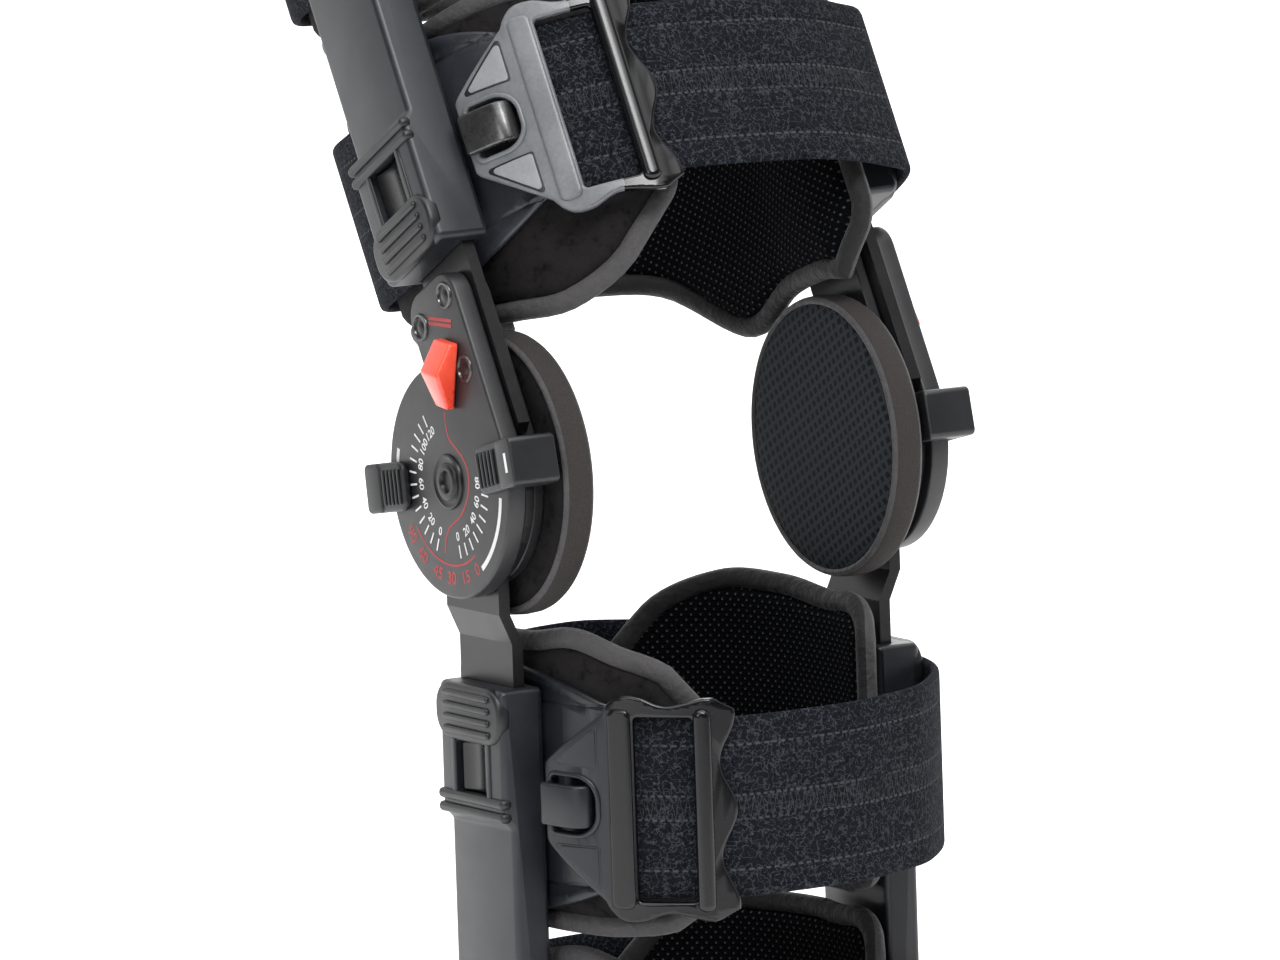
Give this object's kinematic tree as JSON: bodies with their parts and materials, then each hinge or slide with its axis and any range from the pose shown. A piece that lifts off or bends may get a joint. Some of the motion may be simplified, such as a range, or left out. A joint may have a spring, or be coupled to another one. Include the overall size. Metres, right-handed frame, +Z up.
{
  "type": "post-operative knee brace",
  "caption": "Post-operative knee splint with a dial hinge on each side, telescoping bars in sleeves, and padded cuffs with hook buckles and felt straps",
  "frame": {"origin": "centre of the knee, on the hinge axis, midway between the two hinges", "axes": "+X from the leg's outer side to its inner side along the hinge axis, +Y to the rear, +Z up"},
  "size_m": [0.1601, 0.2675, 0.4317],
  "materials": {
    "printed_plate": "satin black plate with dial print",
    "black_plastic": "moulded black plastic",
    "satin_plastic": "fine grained satin charcoal plastic",
    "gloss_plastic": "glossy black plastic",
    "black_metal": "black anodised",
    "red_plastic": "glossy red",
    "felt": "brushed loop strap",
    "pad_cloth": "spacer mesh over foam with bound edge"
  },
  "bodies": {
    "hinges": {"hinge_face_lateral": "printed_plate", "hinge_rear_lateral": "black_plastic", "pivot_lateral": "black_metal", "upper_bar_lateral": "black_metal", "condyle_pad_lateral": "pad_cloth", "hinge_face_medial": "printed_plate", "hinge_rear_medial": "black_plastic", "pivot_medial": "black_metal", "upper_bar_medial": "black_metal", "condyle_pad_medial": "pad_cloth"},
    "calf_arms": {"lower_arm_lateral": "black_metal", "lower_arm_medial": "black_metal"},
    "thigh_section": {"thigh_sleeve_lateral": "satin_plastic", "thigh_sleeve_medial": "satin_plastic", "near_thigh_strap": "felt", "near_thigh_buckle": "gloss_plastic", "near_thigh_cuff_lateral": "satin_plastic", "near_thigh_pad_lateral": "pad_cloth", "near_thigh_cuff_medial": "satin_plastic", "near_thigh_pad_medial": "pad_cloth", "far_thigh_strap": "felt", "far_thigh_buckle": "gloss_plastic", "far_thigh_cuff_lateral": "satin_plastic", "far_thigh_pad_lateral": "pad_cloth", "far_thigh_cuff_medial": "satin_plastic", "far_thigh_pad_medial": "pad_cloth"},
    "calf_section": {"calf_sleeve_lateral": "satin_plastic", "calf_sleeve_medial": "satin_plastic", "near_calf_strap": "felt", "near_calf_buckle": "gloss_plastic", "near_calf_cuff_lateral": "satin_plastic", "near_calf_pad_lateral": "pad_cloth", "near_calf_cuff_medial": "satin_plastic", "near_calf_pad_medial": "pad_cloth", "far_calf_strap": "felt", "far_calf_buckle": "gloss_plastic", "far_calf_cuff_lateral": "satin_plastic", "far_calf_pad_lateral": "pad_cloth", "far_calf_cuff_medial": "satin_plastic", "far_calf_pad_medial": "pad_cloth"},
    "lock_lateral": {"lock_switch_lateral": "red_plastic"},
    "extension_stop_lateral": {"extension_stop_lateral": "black_plastic"},
    "flexion_stop_lateral": {"flexion_stop_lateral": "black_plastic"},
    "thigh_button_lateral": {"thigh_button_lateral": "gloss_plastic"},
    "calf_button_lateral": {"calf_button_lateral": "gloss_plastic"},
    "lock_medial": {"lock_switch_medial": "red_plastic"},
    "extension_stop_medial": {"extension_stop_medial": "black_plastic"},
    "flexion_stop_medial": {"flexion_stop_medial": "black_plastic"},
    "thigh_button_medial": {"thigh_button_medial": "gloss_plastic"},
    "calf_button_medial": {"calf_button_medial": "gloss_plastic"}
  },
  "joints": [
    {"name": "knee_flexion", "type": "hinge", "parent": "hinges", "child": "calf_arms", "pos_m": [0, 0, 0], "axis": [1, 0, 0], "range_deg": [-30, 55]},
    {"name": "thigh_telescope", "type": "slide", "parent": "hinges", "child": "thigh_section", "axis": [0, 0.5807, 0.8141], "range_m": [0, 0.05]},
    {"name": "calf_telescope", "type": "slide", "parent": "calf_arms", "child": "calf_section", "axis": [0, -0.0958, -0.9954], "range_m": [0, 0.05]},
    {"name": "lock_slide_lateral", "type": "slide", "parent": "hinges", "child": "lock_lateral", "axis": [0, 0, 1], "range_m": [0, 0.006]},
    {"name": "extension_stop_turn_lateral", "type": "hinge", "parent": "hinges", "child": "extension_stop_lateral", "pos_m": [0, 0, 0], "axis": [1, 0, 0], "range_deg": [0, 30]},
    {"name": "flexion_stop_turn_lateral", "type": "hinge", "parent": "hinges", "child": "flexion_stop_lateral", "pos_m": [0, 0, 0], "axis": [1, 0, 0], "range_deg": [-60, 60]},
    {"name": "thigh_button_press_lateral", "type": "slide", "parent": "thigh_section", "child": "thigh_button_lateral", "axis": [1, 0, 0], "range_m": [0, 0.0015], "stiffness_N_per_m": 400},
    {"name": "calf_button_press_lateral", "type": "slide", "parent": "calf_section", "child": "calf_button_lateral", "axis": [1, 0, 0], "range_m": [0, 0.0015], "stiffness_N_per_m": 400},
    {"name": "lock_slide_medial", "type": "slide", "parent": "hinges", "child": "lock_medial", "axis": [0, 0, 1], "range_m": [0, 0.006]},
    {"name": "extension_stop_turn_medial", "type": "hinge", "parent": "hinges", "child": "extension_stop_medial", "pos_m": [0, 0, 0], "axis": [1, 0, 0], "range_deg": [0, 30]},
    {"name": "flexion_stop_turn_medial", "type": "hinge", "parent": "hinges", "child": "flexion_stop_medial", "pos_m": [0, 0, 0], "axis": [1, 0, 0], "range_deg": [-60, 60]},
    {"name": "thigh_button_press_medial", "type": "slide", "parent": "thigh_section", "child": "thigh_button_medial", "axis": [-1, 0, 0], "range_m": [0, 0.0015], "stiffness_N_per_m": 400},
    {"name": "calf_button_press_medial", "type": "slide", "parent": "calf_section", "child": "calf_button_medial", "axis": [-1, 0, 0], "range_m": [0, 0.0015], "stiffness_N_per_m": 400}
  ]
}
